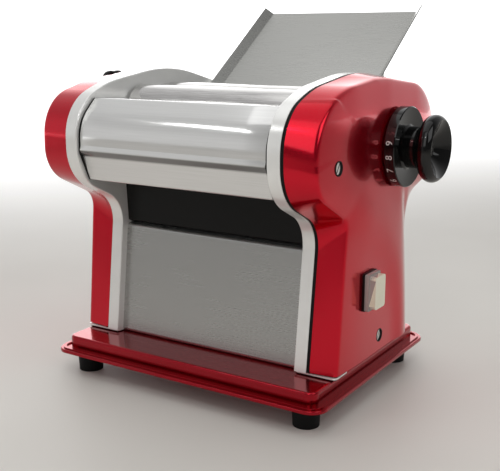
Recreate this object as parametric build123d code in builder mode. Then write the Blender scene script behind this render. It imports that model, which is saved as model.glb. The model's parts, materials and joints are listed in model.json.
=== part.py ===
from build123d import *
import os
from math import acos, atan2, cos, degrees, pi, radians, sin, sqrt, tan

# Electric noodle and pasta roller machine, in millimetres.
# The rollers lie along X. +X points to the dial and switch side, -Y to the front
# where the noodles come out, +Z up. The origin is on the table, under the middle
# of the base plate.

os.makedirs("parts", exist_ok=True)

# ---- base plate and feet ----
base_width = 300.0
base_depth = 238.0
base_corner = 16.0
flange_bottom = 21.5
flange_thick = 3.0
plateau_inset = 10.0
plateau_top = 36.5
sheet = 2.0
foot_inset = 25.7
foot_radius = 13.0
foot_draft = 1.2
foot_x = base_width / 2 - foot_inset
foot_y = base_depth / 2 - foot_inset
foot_boss_radius = 5.0
foot_boss_bottom = 27.0
foot_screw_radius = 2.4
foot_screw_seat = 14.0

# ---- side frames, gaskets and casings ----
frame_inner = 102.0
frame_plate = 4.0
frame_width = 12.5
rim_thick = 3.0
gasket_thick = 3.4
gasket_setback = 0.5
gasket_width = 4.0
casing_inner = frame_inner + frame_width + gasket_thick
casing_outer = 145.0
casing_wall = 2.5
casing_round = 8.0
crown_start = 10.0
crown_radius = 480.0
frame_flange_bottom = 37.7
frame_flange_thick = 1.5
outline_bottom = frame_flange_bottom + frame_flange_thick
casing_bottom = outline_bottom + 1.2

# Corners of the side outline as (Y, Z), each with the radius that rounds it.
side_corners = [
    ((-77.0, outline_bottom), 0.0),
    ((-61.5, 169.4), 32.0),
    ((-125.0, 200.5), 45.0),
    ((-125.0, 268.0), 45.0),
    ((-75.0, 287.5), 120.0),
    ((18.2, 300.6), 220.0),
    ((150.0, 268.5), 44.0),
    ((150.0, 202.0), 44.0),
    ((91.0, 171.0), 32.0),
    ((105.0, outline_bottom), 0.0),
]

# ---- rollers and shafts, each place as (Y, Z) ----
roller_radius = 24.75
roller_half_length = 99.0
roller_journal = 7.0
front_roller_at = (-30.0, 258.0)
rear_roller_at = (20.0, 258.0)
gap_travel = 2.7
ring_radius = 17.5
groove_radius = 15.5
ring_width = 2.7
ring_pitch = 6.0
cutter_half_length = 96.0
cutter_journal = 6.0
rear_cutter_at = (-64.5, 229.11)
front_cutter_at = (-98.5, 229.11)
running = 0.05
bush_wall = 2.5
bush_lip = 1.2

# ---- gears ----
roller_module = 2.0
motor_module = 1.5
roller_teeth = 25
cutter_drive_teeth = 20
cutter_teeth = 17
upper_idler_teeth = 40
lower_pinion_teeth = 14
lower_wheel_teeth = 60
motor_teeth = 12
gear_face = 6.0
mesh_plane_1 = -121.0
mesh_plane_2 = -128.0
mesh_plane_3 = -135.0
upper_idler_at = (-4.0, 198.42)
lower_idler_at = (8.0, 145.77)
motor_at = (20.0, 93.12)
idler_pin_radius = 4.0

# ---- thickness dial ----
dial_at = (38.0, 230.0)
dial_radius = 37.0
dial_inner_face = 147.4
dial_rim = 9.5
dial_dish = 1.5
neck_radius = 19.0
knob_radius = 30.8
dish_radius = 26.2
shaft_end = 175.5
dial_shaft_radius = 5.0
setting_angle = 20.0
settings = 9
index_radius = 26.0
cam_radius = 12.0

# ---- casing screws, each as (side, (Y, Z)) ----
casing_screw_places = [
    (1, (-81.5, 224.0)),
    (1, (10.0, 55.0)),
    (-1, (-50.0, 181.0)),
    (-1, (10.0, 50.0)),
]

# ---- switch, covers, tray ----
switch_at = (-18.0, 106.0)
switch_depth_y = 26.0
switch_height = 35.0
cover_gauge = 1.2
cover_half = 99.5
tray_half = 90.0
tray_foot = (85.0, 268.0)
tray_rise = 35.6
tray_length = 148.0
tray_splay = 45.0
tray_flange = 12.0
selector_at = (-14.0, 279.0)
hook_thick = 2.0
hook_middle = tray_half - 3.5


def side_face(inset=0.0):
    """Face inside the side outline, moved inwards by the inset, flat on the XY plane."""
    with BuildSketch() as outline:
        with BuildLine():
            FilletPolyline(
                *[corner for corner, _ in side_corners],
                radius=[radius for _, radius in side_corners],
                close=True,
            )
        make_face()
        if inset:
            offset(amount=-inset)
    return outline.sketch_local


def gear_points(teeth, module, phase):
    """Points round an involute spur gear with one tooth centred at the phase in degrees."""
    pitch_radius = module * teeth / 2
    base_radius = pitch_radius * cos(radians(20))
    tip_radius = pitch_radius + 0.95 * module
    root_radius = pitch_radius - 1.25 * module
    half_tooth = (pi / 2 - 0.10) / teeth
    involute_at_pitch = tan(radians(20)) - radians(20)
    low = max(base_radius, root_radius + 0.15 * module)
    flank = []
    for step in range(5):
        radius = low + (tip_radius - low) * step / 4
        pressure = acos(base_radius / radius)
        flank.append((radius, half_tooth + involute_at_pitch - (tan(pressure) - pressure)))
    points = []
    for tooth in range(teeth):
        middle = radians(phase) + 2 * pi * tooth / teeth
        points.append((root_radius, middle - flank[0][1]))
        points += [(radius, middle - angle) for radius, angle in flank]
        points += [(radius, middle + angle) for radius, angle in reversed(flank)]
        points.append((root_radius, middle + flank[0][1]))
    return [(radius * cos(angle), radius * sin(angle)) for radius, angle in points]


def mesh_phase(driver_at, driver_phase, driver_teeth, driven_at, driven_teeth):
    """Phase in degrees of a gear whose gap receives the driver's teeth."""
    line = degrees(atan2(driven_at[1] - driver_at[1], driven_at[0] - driver_at[0]))
    lead = driver_phase - line
    return line + 180 + 180 / driven_teeth - lead * driver_teeth / driven_teeth


def gear_solid(at, teeth, module, phase, x_middle, bore, face=gear_face):
    """One spur gear on an axis along X."""
    start = Plane.YZ.offset(x_middle - face / 2)
    with BuildPart() as gear:
        with BuildSketch(start):
            with BuildLine():
                Polyline(
                    *[(at[0] + y, at[1] + z) for y, z in gear_points(teeth, module, phase)],
                    close=True,
                )
            make_face()
        extrude(amount=face)
        with BuildSketch(start):
            with Locations(at):
                Circle(bore)
        extrude(amount=face, mode=Mode.SUBTRACT)
    return gear.part


def rod_between(at, radius, x_from, x_to):
    """Round bar along X through the point (Y, Z)."""
    with BuildPart() as rod:
        with BuildSketch(Plane.YZ.offset(x_from)):
            with Locations(at):
                Circle(radius)
        extrude(amount=x_to - x_from)
    return rod.part


def sheet_between(points, radii, x_from, x_to, gauge):
    """Bent sheet of one gauge, its path (Y, Z) swept along X, gauge laid inwards."""
    with BuildPart() as bent:
        with BuildSketch(Plane.YZ.offset(x_from)):
            with BuildLine() as path:
                FilletPolyline(*points, radius=radii)
            trace(path.line, line_width=gauge)
        extrude(amount=x_to - x_from)
    return bent.part


def save(part, name):
    """Label a finished piece and write its STEP file."""
    part.label = name
    export_step(part, f"parts/{name}.step")


# =============================== base ===============================

foot_points = [(x, y) for x in (-foot_x, foot_x) for y in (-foot_y, foot_y)]
frame_bolt_points = [(x, y) for x in (-128.0, 128.0) for y in (-52.0, 70.0)]
frame_bolt_radius = 2.5
plateau_width = base_width - 2 * plateau_inset
plateau_depth = base_depth - 2 * plateau_inset

with BuildPart() as base_plate:
    with BuildSketch(Plane.XY.offset(flange_bottom)):
        RectangleRounded(base_width, base_depth, base_corner)
    extrude(amount=flange_thick)
    fillet(base_plate.edges().group_by(Axis.Z)[-1], 1.2)
    # stiffening bead round the flange
    with BuildSketch(Plane.XY.offset(flange_bottom + flange_thick)):
        RectangleRounded(base_width - 6, base_depth - 6, base_corner - 3)
        RectangleRounded(base_width - 12, base_depth - 12, base_corner - 6, mode=Mode.SUBTRACT)
    extrude(amount=1.4)
    with BuildSketch(Plane.XY.offset(flange_bottom)):
        RectangleRounded(plateau_width, plateau_depth, 9.0)
    extrude(amount=plateau_top - flange_bottom)
    fillet(base_plate.edges().group_by(Axis.Z)[-1], 2.4)
    with BuildSketch(Plane.XY.offset(flange_bottom)):
        RectangleRounded(plateau_width - 2 * sheet, plateau_depth - 2 * sheet, 7.0)
    extrude(amount=plateau_top - sheet - flange_bottom, mode=Mode.SUBTRACT)
    # threaded bosses that take the foot screws
    with BuildSketch(Plane.XY.offset(foot_boss_bottom)):
        with Locations(*foot_points):
            Circle(foot_boss_radius)
    extrude(amount=plateau_top - sheet - foot_boss_bottom)
    with BuildSketch(Plane.XY.offset(foot_boss_bottom)):
        with Locations(*foot_points):
            Circle(foot_screw_radius + 0.1)
    extrude(amount=plateau_top - sheet - foot_boss_bottom, mode=Mode.SUBTRACT)
    with BuildSketch(Plane.XY.offset(flange_bottom)):
        with Locations(*frame_bolt_points):
            Circle(frame_bolt_radius + 0.2)
    extrude(amount=plateau_top - flange_bottom, mode=Mode.SUBTRACT)
save(base_plate.part, "base_plate")

foot_top = plateau_top - sheet
with BuildPart() as rubber_feet:
    with BuildSketch(Plane.XY):
        with Locations(*foot_points):
            Circle(foot_radius - foot_draft)
    extrude(amount=flange_bottom, taper=-degrees(atan2(foot_draft, flange_bottom)))
    with BuildSketch(Plane.XY.offset(flange_bottom)):
        with Locations(*foot_points):
            Circle(foot_radius - 1.0)
    extrude(amount=foot_top - flange_bottom)
    with BuildSketch(Plane.XY.offset(foot_boss_bottom)):
        with Locations(*foot_points):
            Circle(foot_boss_radius + 0.2)
    extrude(amount=foot_top - foot_boss_bottom, mode=Mode.SUBTRACT)
    with BuildSketch(Plane.XY):
        with Locations(*foot_points):
            Circle(foot_screw_radius + 0.3)
    extrude(amount=foot_boss_bottom, mode=Mode.SUBTRACT)
    with BuildSketch(Plane.XY):
        with Locations(*foot_points):
            Circle(5.5)
    extrude(amount=foot_screw_seat, mode=Mode.SUBTRACT)
save(rubber_feet.part, "rubber_feet")

with BuildPart() as foot_screws:
    with BuildSketch(Plane.XY.offset(foot_screw_seat - 3.5)):
        with Locations(*foot_points):
            Circle(4.6)
    extrude(amount=3.5)
    with BuildSketch(Plane.XY.offset(foot_screw_seat)):
        with Locations(*foot_points):
            Circle(foot_screw_radius)
    extrude(amount=20.0)
    with BuildSketch(Plane.XY.offset(foot_screw_seat - 3.5)):
        with Locations(*foot_points):
            Rectangle(5.0, 1.2)
            Rectangle(1.2, 5.0)
    extrude(amount=1.8, mode=Mode.SUBTRACT)
save(foot_screws.part, "foot_screws")

with BuildPart() as frame_bolts:
    with BuildSketch(Plane.XY.offset(plateau_top - sheet - 3.5)):
        with Locations(*frame_bolt_points):
            RegularPolygon(4.4, 6)
    extrude(amount=3.5)
    with BuildSketch(Plane.XY.offset(plateau_top - sheet)):
        with Locations(*frame_bolt_points):
            Circle(frame_bolt_radius)
    extrude(amount=13.5)
save(frame_bolts.part, "frame_bolts")

with BuildPart() as frame_nuts:
    with BuildSketch(Plane.XY.offset(casing_bottom + casing_wall)):
        with Locations(*frame_bolt_points):
            RegularPolygon(4.4, 6)
            Circle(frame_bolt_radius + 0.1, mode=Mode.SUBTRACT)
    extrude(amount=4.0)
save(frame_nuts.part, "frame_nuts")

# The foot of each side frame is a strip under the casing, with a wider toe that shows in front.
foot_front = -75.5
foot_rear = 102.5
toe_rear = -50.0
foot_outer = casing_outer - 11.0
toe_outer = casing_outer - 2.0


def foot_outline(side, inset):
    """Plan of a frame's foot: long strip and toe, both moved inwards by the inset."""
    with BuildSketch() as plan:
        for outer, rear in ((foot_outer, foot_rear), (toe_outer, toe_rear)):
            width = outer - frame_inner - 2 * inset
            depth = rear - foot_front - 2 * inset
            with Locations((side * (frame_inner + outer) / 2, (foot_front + rear) / 2)):
                RectangleRounded(width, depth, 4.0 - inset)
    return plan.sketch_local


with BuildPart() as base_gaskets:
    with BuildSketch(Plane.XY.offset(plateau_top)):
        add(foot_outline(-1, 1.0))
        add(foot_outline(1, 1.0))
        with Locations(*frame_bolt_points):
            Circle(frame_bolt_radius + 0.2, mode=Mode.SUBTRACT)
    extrude(amount=frame_flange_bottom - plateau_top)
save(base_gaskets.part, "base_gaskets")

# =============================== side frames ===============================

window_height = 26.0
window_half = 13.0 + gap_travel / 2
block_middle = rear_roller_at[0]
bush_places = [
    (front_roller_at, roller_journal),
    (front_cutter_at, cutter_journal),
    (rear_cutter_at, cutter_journal),
    (dial_at, dial_shaft_radius),
]
tie_rod_points = [(118.0, 262.0), (72.0, 150.0), (-36.0, 160.0)]
tie_rod_radius = 5.0
tie_screw_radius = 3.0


def side_frame(side):
    """Cast side frame: a plate with a raised rim that follows the side outline."""
    inner = side * frame_inner
    with BuildPart() as frame:
        with BuildSketch(Plane.YZ.offset(inner)):
            add(side_face())
        extrude(amount=side * frame_width)
        rim_edges = frame.edges().filter_by_position(Axis.X, inner - 0.01, inner + 0.01)
        fillet(rim_edges.filter_by(lambda edge: edge.center().Z > outline_bottom + 4), 1.2)
        with BuildSketch(Plane.YZ.offset(inner + side * frame_plate)):
            add(side_face(rim_thick))
        extrude(amount=side * (frame_width - frame_plate), mode=Mode.SUBTRACT)
        # foot flange that is bolted to the base
        with BuildSketch(Plane.XY.offset(frame_flange_bottom)):
            add(foot_outline(side, 0.0))
        extrude(amount=frame_flange_thick)
        with BuildSketch(Plane.YZ.offset(inner)):
            for place, journal in bush_places:
                with Locations(place):
                    Circle(journal + running + bush_wall)
            with Locations((block_middle + gap_travel / 2, rear_roller_at[1])):
                Rectangle(2 * window_half, window_height)
            with Locations(*tie_rod_points):
                Circle(tie_screw_radius + 0.1)
            if side < 0:
                with Locations(upper_idler_at, lower_idler_at):
                    Circle(idler_pin_radius)
                with Locations(motor_at):
                    Circle(12.5)
            for screw_side, place in casing_screw_places:
                if screw_side == side:
                    with Locations(place):
                        Circle(2.6)
        extrude(amount=side * frame_plate, mode=Mode.SUBTRACT)
        with BuildSketch(Plane.XY.offset(frame_flange_bottom)):
            with Locations(*frame_bolt_points):
                Circle(frame_bolt_radius + 0.2)
        extrude(amount=frame_flange_thick + 1.0, mode=Mode.SUBTRACT)
    return frame.part


left_side_frame = side_frame(-1)
right_side_frame = side_frame(1)
save(left_side_frame, "left_side_frame")
save(right_side_frame, "right_side_frame")

with BuildPart() as casing_gaskets:
    for side in (-1, 1):
        with BuildSketch(Plane.YZ.offset(side * (frame_inner + frame_width))):
            add(side_face(gasket_setback))
        extrude(amount=side * gasket_thick)
        with BuildSketch(Plane.YZ.offset(side * (frame_inner + frame_width))):
            add(side_face(gasket_setback + gasket_width))
        extrude(amount=side * gasket_thick, mode=Mode.SUBTRACT)
save(casing_gaskets.part, "casing_gaskets")

# =============================== casings ===============================

pad_radius = 31.0
pad_face = 146.4
recess_radius = 5.8
recess_depth = 4.0
recess_wall = 2.5
post_radius = 4.3
casing_top = 305.0


def casing_block(inset, edge_round):
    """Solid of the casing's outer shape, moved inwards by the inset."""
    outer = casing_outer - inset
    crown = crown_radius - inset
    rear_y = 160.0
    rear_x = outer - crown + sqrt(crown**2 - (rear_y - crown_start) ** 2)
    half_y = (rear_y + crown_start) / 2
    half_x = outer - crown + sqrt(crown**2 - (half_y - crown_start) ** 2)
    with BuildPart() as block:
        with BuildSketch(Plane.YZ.offset(casing_inner)):
            add(side_face(inset))
        extrude(amount=40.0)
        with BuildSketch(Plane.XY.offset(casing_bottom + inset)):
            with BuildLine():
                Line((casing_inner, -140.0), (outer, -140.0))
                Line((outer, -140.0), (outer, crown_start))
                ThreePointArc((outer, crown_start), (half_x, half_y), (rear_x, rear_y))
                Line((rear_x, rear_y), (casing_inner, rear_y))
                Line((casing_inner, rear_y), (casing_inner, -140.0))
            make_face()
        extrude(amount=casing_top, mode=Mode.INTERSECT)
        rim = block.edges().filter_by(lambda edge: edge.center().X > casing_inner + 2)
        rim = rim.filter_by(lambda edge: edge.center().Z > casing_bottom + inset + 1)
        rim = rim.filter_by(lambda edge: abs(edge.tangent_at(0.5).X) < 0.6)
        rim = rim.filter_by(lambda edge: edge.length < 220 or edge.geom_type != GeomType.LINE)
        fillet(rim, edge_round)
    return block.part


shell_outer = casing_block(0.0, casing_round)
shell_inner = casing_block(casing_wall, casing_round - casing_wall)

switch_box_y = 22.0
switch_box_z = 30.0

with BuildPart() as right_casing:
    add(shell_outer)
    add(shell_inner, mode=Mode.SUBTRACT)
    # round pad that the dial turns on
    with BuildSketch(Plane.YZ.offset(casing_outer - 9.0)):
        with Locations(dial_at):
            Circle(pad_radius)
    extrude(amount=pad_face - casing_outer + 9.0)
    for side, place in casing_screw_places[:2]:
        with BuildSketch(Plane.YZ.offset(casing_outer - recess_depth - recess_wall)):
            with Locations(place):
                Circle(recess_radius + recess_wall)
        extrude(amount=recess_depth + recess_wall - 0.3)
        with BuildSketch(Plane.YZ.offset(casing_outer - recess_depth)):
            with Locations(place):
                Circle(recess_radius)
        extrude(amount=recess_depth + 2.0, mode=Mode.SUBTRACT)
        with BuildSketch(Plane.YZ.offset(casing_outer - recess_depth - recess_wall)):
            with Locations(place):
                Circle(2.2)
        extrude(amount=recess_wall, mode=Mode.SUBTRACT)
    with BuildSketch(Plane.YZ.offset(casing_inner)):
        with Locations(dial_at):
            Circle(8.0)
        with Locations(switch_at):
            Rectangle(switch_box_y + 0.2, switch_box_z + 0.2)
    extrude(amount=40.0, mode=Mode.SUBTRACT)
    # nine shallow seats for the index pin
    with BuildSketch(Plane.YZ.offset(pad_face - 1.0)):
        with Locations(dial_at):
            with PolarLocations(index_radius, settings, start_angle=100.0,
                                angular_range=setting_angle * (settings - 1)):
                Circle(1.8)
    extrude(amount=2.0, mode=Mode.SUBTRACT)
    with BuildSketch(Plane.XY.offset(casing_bottom)):
        with Locations(*frame_bolt_points[2:]):
            Circle(frame_bolt_radius + 0.2)
    extrude(amount=casing_wall, mode=Mode.SUBTRACT)
save(right_casing.part, "right_casing")

left_outer = mirror(shell_outer, about=Plane.YZ)
left_inner = mirror(shell_inner, about=Plane.YZ)

with BuildPart() as left_casing:
    add(left_outer)
    add(left_inner, mode=Mode.SUBTRACT)
    for side, place in casing_screw_places[2:]:
        with BuildSketch(Plane.YZ.offset(-casing_outer + recess_depth + recess_wall)):
            with Locations(place):
                Circle(recess_radius + recess_wall)
        extrude(amount=-(recess_depth + recess_wall - 0.3))
        with BuildSketch(Plane.YZ.offset(-casing_outer + recess_depth)):
            with Locations(place):
                Circle(recess_radius)
        extrude(amount=-(recess_depth + 2.0), mode=Mode.SUBTRACT)
        with BuildSketch(Plane.YZ.offset(-casing_outer + recess_depth + recess_wall)):
            with Locations(place):
                Circle(2.2)
        extrude(amount=-recess_wall, mode=Mode.SUBTRACT)
    with BuildSketch(Plane.YZ.offset(-casing_outer - 2.0)):
        with Locations(selector_at):
            Circle(7.0)
    extrude(amount=12.0, mode=Mode.SUBTRACT)
    with BuildSketch(Plane.XY.offset(casing_bottom)):
        with Locations(*frame_bolt_points[:2]):
            Circle(frame_bolt_radius + 0.2)
    extrude(amount=casing_wall, mode=Mode.SUBTRACT)
save(left_casing.part, "left_casing")

post_end = casing_outer - recess_depth - recess_wall
screw_head = 3.0
with BuildPart() as casing_posts:
    for side, place in casing_screw_places:
        with BuildSketch(Plane.YZ.offset(side * (frame_inner + frame_plate))):
            with Locations(place):
                Circle(post_radius)
        extrude(amount=side * (post_end - frame_inner - frame_plate))
        with BuildSketch(Plane.YZ.offset(side * frame_inner)):
            with Locations(place):
                Circle(2.5)
        extrude(amount=side * frame_plate)
        with BuildSketch(Plane.YZ.offset(side * post_end)):
            with Locations(place):
                Circle(2.1)
        extrude(amount=-side * 16.0, mode=Mode.SUBTRACT)
save(casing_posts.part, "casing_posts")

with BuildPart() as casing_screws:
    for side, place in casing_screw_places:
        seat = side * (casing_outer - recess_depth)
        with BuildSketch(Plane.YZ.offset(seat)):
            with Locations(place):
                Circle(5.0)
        extrude(amount=side * screw_head)
        with BuildSketch(Plane.YZ.offset(seat)):
            with Locations(place):
                Circle(2.0)
        extrude(amount=-side * 14.0)
        with BuildSketch(Plane.YZ.offset(seat + side * (screw_head - 1.2))):
            with Locations(Location((place[0], place[1]), 55.0)):
                Rectangle(11.0, 1.3)
        extrude(amount=side * 2.0, mode=Mode.SUBTRACT)
save(casing_screws.part, "casing_screws")

# =============================== tie rods ===============================

with BuildPart() as tie_rods:
    with BuildSketch(Plane.YZ.offset(-frame_inner)):
        with Locations(*tie_rod_points):
            Circle(tie_rod_radius)
    extrude(amount=2 * frame_inner)
    for side in (-1, 1):
        with BuildSketch(Plane.YZ.offset(side * frame_inner)):
            with Locations(*tie_rod_points):
                Circle(tie_screw_radius)
        extrude(amount=side * 8.0)
save(tie_rods.part, "tie_rods")

with BuildPart() as tie_nuts:
    for side in (-1, 1):
        with BuildSketch(Plane.YZ.offset(side * (frame_inner + frame_plate))):
            with Locations(*tie_rod_points):
                RegularPolygon(5.2, 6)
                Circle(tie_screw_radius + 0.05, mode=Mode.SUBTRACT)
        extrude(amount=side * 4.5)
save(tie_nuts.part, "tie_nuts")

# =============================== sheet covers ===============================

cover_line = 2.8


def cover_sheet(inset, gauge, half_width, keep):
    """Sheet that follows the side outline, cut to the part inside a polygon (Y, Z)."""
    with BuildPart() as cover:
        with BuildSketch(Plane.YZ.offset(-half_width)):
            add(side_face(inset))
        extrude(amount=2 * half_width)
        with BuildSketch(Plane.YZ.offset(-half_width)):
            add(side_face(inset + gauge))
        extrude(amount=2 * half_width, mode=Mode.SUBTRACT)
        with BuildSketch(Plane.YZ.offset(-half_width)):
            with BuildLine():
                Polyline(*keep, close=True)
            make_face()
        extrude(amount=2 * half_width, mode=Mode.INTERSECT)
    return cover.part


# Path of the front cover from its top lip, over the bulge and the crease, to its bottom edge.
front_cover_path = [(-87.5, 269.6), (-98.5, 272.8), (-120.8, 252.0), (-121.2, 225.0), (-109.3, 198.4)]
front_cover_bends = [4.0, 36.0, 4.5]
save(
    sheet_between(front_cover_path, front_cover_bends, -cover_half, cover_half, cover_gauge),
    "front_cover",
)

rear_sheet = cover_sheet(
    cover_line, cover_gauge, cover_half,
    [(112.0, 300.0), (96.0, 240.0), (60.0, 170.0), (60.0, 60.0), (85.0, 41.0), (180.0, 41.0),
     (180.0, 300.0)],
)
with BuildPart() as rear_cover:
    add(rear_sheet)
    with BuildSketch(Plane.XZ.offset(-115.0)):
        with Locations((60.0, 62.0)):
            Circle(6.1)
    extrude(amount=40.0, mode=Mode.SUBTRACT)
    # slots for the tray's hooks
    with BuildSketch(Plane.XY.offset(255.0)):
        with Locations((-hook_middle, 118.0), (hook_middle, 118.0)):
            Rectangle(6.0, 34.0)
    extrude(amount=30.0, mode=Mode.SUBTRACT)
save(rear_cover.part, "rear_cover")

panel_foot = (-68.0, plateau_top + 0.6)
panel_top = (-55.5, 145.0)
with BuildPart() as lower_panel:
    add(sheet_between(
        [(-50.0, plateau_top + 0.6), panel_foot, panel_top, (-46.0, 147.5)],
        [3.0, 3.0], -frame_inner, frame_inner, cover_gauge,
    ))
save(lower_panel.part, "lower_panel")

# Brackets behind the front cover, as (middle (Y, Z), tilt), and the strips that edge the cover.
bracket_places = [((-118.9, 231.5), 90.4), ((-113.3, 212.6), 114.1)]
with BuildPart() as cover_brackets:
    for side in (-1, 1):
        with BuildSketch(Plane.YZ.offset(side * (frame_inner - 5.0))):
            for place, tilt in bracket_places:
                with Locations(Location(place, tilt)):
                    Rectangle(9.0, 3.0)
        extrude(amount=side * 5.0)
save(cover_brackets.part, "cover_brackets")

edge_strips = [
    sheet_between(
        front_cover_path, front_cover_bends,
        min(side * cover_half, side * frame_inner), max(side * cover_half, side * frame_inner),
        cover_gauge,
    )
    for side in (-1, 1)
]
save(Compound(children=edge_strips), "cover_pads")

# =============================== rollers ===============================


def smooth_roller(at, gear_end):
    """Roller turned in one piece with its journals, the left one long enough for its gear."""
    roller = rod_between(at, roller_radius, -roller_half_length, roller_half_length)
    shaft = rod_between(at, roller_journal, gear_end, 110.5)
    return roller + shaft


front_smooth_roller = smooth_roller(front_roller_at, mesh_plane_2 - 4.0)
rear_smooth_roller = smooth_roller(rear_roller_at, mesh_plane_1 - 4.0)
save(front_smooth_roller, "front_smooth_roller")
save(rear_smooth_roller, "rear_smooth_roller")


def cutter_roller(at, ring_shift):
    """Grooved roller: rings that leave a groove as wide as the facing roller's ring."""
    ring_count = int(2 * cutter_half_length / ring_pitch)
    outline = [(-cutter_half_length, 0.0), (-cutter_half_length, groove_radius)]
    for ring in range(ring_count):
        start = -cutter_half_length + ring_shift + ring * ring_pitch
        outline += [
            (start, groove_radius),
            (start, ring_radius),
            (start + ring_width, ring_radius),
            (start + ring_width, groove_radius),
        ]
    outline += [(cutter_half_length, groove_radius), (cutter_half_length, 0.0)]
    axis_plane = Plane(origin=(0, at[0], at[1]), x_dir=(1, 0, 0), z_dir=(0, -1, 0))
    with BuildPart() as cutter:
        with BuildSketch(axis_plane):
            with BuildLine():
                Polyline(*outline, close=True)
            make_face()
        revolve(axis=Axis((0, at[0], at[1]), (1, 0, 0)))
        with BuildSketch(Plane.YZ.offset(mesh_plane_3 - 4.0)):
            with Locations(at):
                Circle(cutter_journal)
        extrude(amount=110.5 - mesh_plane_3 + 4.0)
    return cutter.part


front_cutter_roller = cutter_roller(front_cutter_at, 0.15)
rear_cutter_roller = cutter_roller(rear_cutter_at, 0.15 + ring_pitch / 2)
save(front_cutter_roller, "front_cutter_roller")
save(rear_cutter_roller, "rear_cutter_roller")

fixed_bushes = [
    (front_roller_at, roller_journal),
    (front_cutter_at, cutter_journal),
    (rear_cutter_at, cutter_journal),
]
with BuildPart() as shaft_bushes:
    for side in (-1, 1):
        for place, journal in fixed_bushes:
            with BuildSketch(Plane.YZ.offset(side * frame_inner)):
                with Locations(place):
                    Circle(journal + running + bush_wall)
            extrude(amount=side * frame_plate)
            with BuildSketch(Plane.YZ.offset(side * (frame_inner + frame_plate))):
                with Locations(place):
                    Circle(journal + running + bush_wall + bush_lip)
            extrude(amount=side * 2.5)
            with BuildSketch(Plane.YZ.offset(side * frame_inner)):
                with Locations(place):
                    Circle(journal + running)
            extrude(amount=side * (frame_plate + 2.5), mode=Mode.SUBTRACT)
save(shaft_bushes.part, "shaft_bushes")

# Sliding blocks carry the rear roller. Each has a tail that rides on a cam of the dial shaft.
block_half_y = 12.5
block_half_z = 12.5
tail_front = dial_at[0] - cam_radius - 0.3
with BuildPart() as bearing_blocks:
    for side in (-1, 1):
        with BuildSketch(Plane.YZ.offset(side * (frame_inner - 0.6))):
            with Locations(rear_roller_at):
                Rectangle(2 * block_half_y, 2 * block_half_z)
        extrude(amount=side * (frame_plate + 1.2))
        with BuildSketch(Plane.YZ.offset(side * (frame_inner + frame_plate + 0.6))):
            with Locations((rear_roller_at[0], rear_roller_at[1])):
                RectangleRounded(2 * block_half_y + 6.0, 2 * block_half_z + 6.0, 3.0)
            with Locations((tail_front - 3.5, 234.0)):
                Rectangle(7.0, 32.0)
        extrude(amount=side * 4.0)
        with BuildSketch(Plane.YZ.offset(side * (frame_inner - 0.6))):
            with Locations(rear_roller_at):
                Circle(roller_journal + running)
        extrude(amount=side * (frame_plate + 5.2), mode=Mode.SUBTRACT)
save(bearing_blocks.part, "bearing_blocks")

# =============================== gear train ===============================

front_phase = 0.0
rear_phase = mesh_phase(front_roller_at, front_phase, roller_teeth, rear_roller_at, roller_teeth)
rear_cutter_phase = mesh_phase(
    front_roller_at, front_phase, roller_teeth, rear_cutter_at, cutter_drive_teeth)
front_cutter_phase = mesh_phase(
    rear_cutter_at, rear_cutter_phase, cutter_teeth, front_cutter_at, cutter_teeth)
upper_phase = mesh_phase(
    front_roller_at, front_phase, roller_teeth, upper_idler_at, upper_idler_teeth)
lower_pinion_phase = mesh_phase(
    upper_idler_at, upper_phase, upper_idler_teeth, lower_idler_at, lower_pinion_teeth)
motor_phase = mesh_phase(
    lower_idler_at, lower_pinion_phase, lower_wheel_teeth, motor_at, motor_teeth)

front_mesh_gear = gear_solid(
    front_roller_at, roller_teeth, roller_module, front_phase, mesh_plane_1, roller_journal)
front_drive_gear = gear_solid(
    front_roller_at, roller_teeth, roller_module, front_phase, mesh_plane_2, roller_journal)
save(Compound(children=[front_mesh_gear, front_drive_gear]), "front_roller_gears")
save(gear_solid(rear_roller_at, roller_teeth, roller_module, rear_phase, mesh_plane_1,
                roller_journal), "rear_roller_gear")
cutter_drive_gear = gear_solid(
    rear_cutter_at, cutter_drive_teeth, roller_module, rear_cutter_phase, mesh_plane_2,
    cutter_journal)
cutter_pair_gear = gear_solid(
    rear_cutter_at, cutter_teeth, roller_module, rear_cutter_phase, mesh_plane_3,
    cutter_journal)
save(Compound(children=[cutter_drive_gear, cutter_pair_gear]), "rear_cutter_gears")
save(gear_solid(front_cutter_at, cutter_teeth, roller_module, front_cutter_phase,
                mesh_plane_3, cutter_journal), "front_cutter_gear")
save(gear_solid(upper_idler_at, upper_idler_teeth, roller_module, upper_phase, mesh_plane_2,
                idler_pin_radius + running), "upper_idler_gear")

lower_pinion = gear_solid(
    lower_idler_at, lower_pinion_teeth, roller_module, lower_pinion_phase,
    mesh_plane_2 - 0.3, idler_pin_radius + running, face=7.4)
lower_wheel = gear_solid(
    lower_idler_at, lower_wheel_teeth, motor_module, lower_pinion_phase, mesh_plane_3,
    idler_pin_radius + running)
lower_idler_gear = lower_pinion + lower_wheel
save(lower_idler_gear, "lower_idler_gear")

shoulder = idler_pin_radius + 3.0
keeper = idler_pin_radius + 2.0
plate_face = -(frame_inner + frame_plate)
upper_end = mesh_plane_2 - gear_face / 2 - 0.1
lower_end = mesh_plane_3 - gear_face / 2 - 0.1
idler_pins = (
    rod_between(upper_idler_at, idler_pin_radius, upper_end - 1.5, -frame_inner)
    + rod_between(upper_idler_at, shoulder, mesh_plane_2 + gear_face / 2 + 0.1, plate_face)
    + rod_between(upper_idler_at, keeper, upper_end - 1.5, upper_end)
    + rod_between(lower_idler_at, idler_pin_radius, lower_end - 1.5, -frame_inner)
    + rod_between(lower_idler_at, shoulder, mesh_plane_2 + 3.5, plate_face)
    + rod_between(lower_idler_at, keeper, lower_end - 1.5, lower_end)
)
save(idler_pins, "idler_pins")

# =============================== motor ===============================

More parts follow.
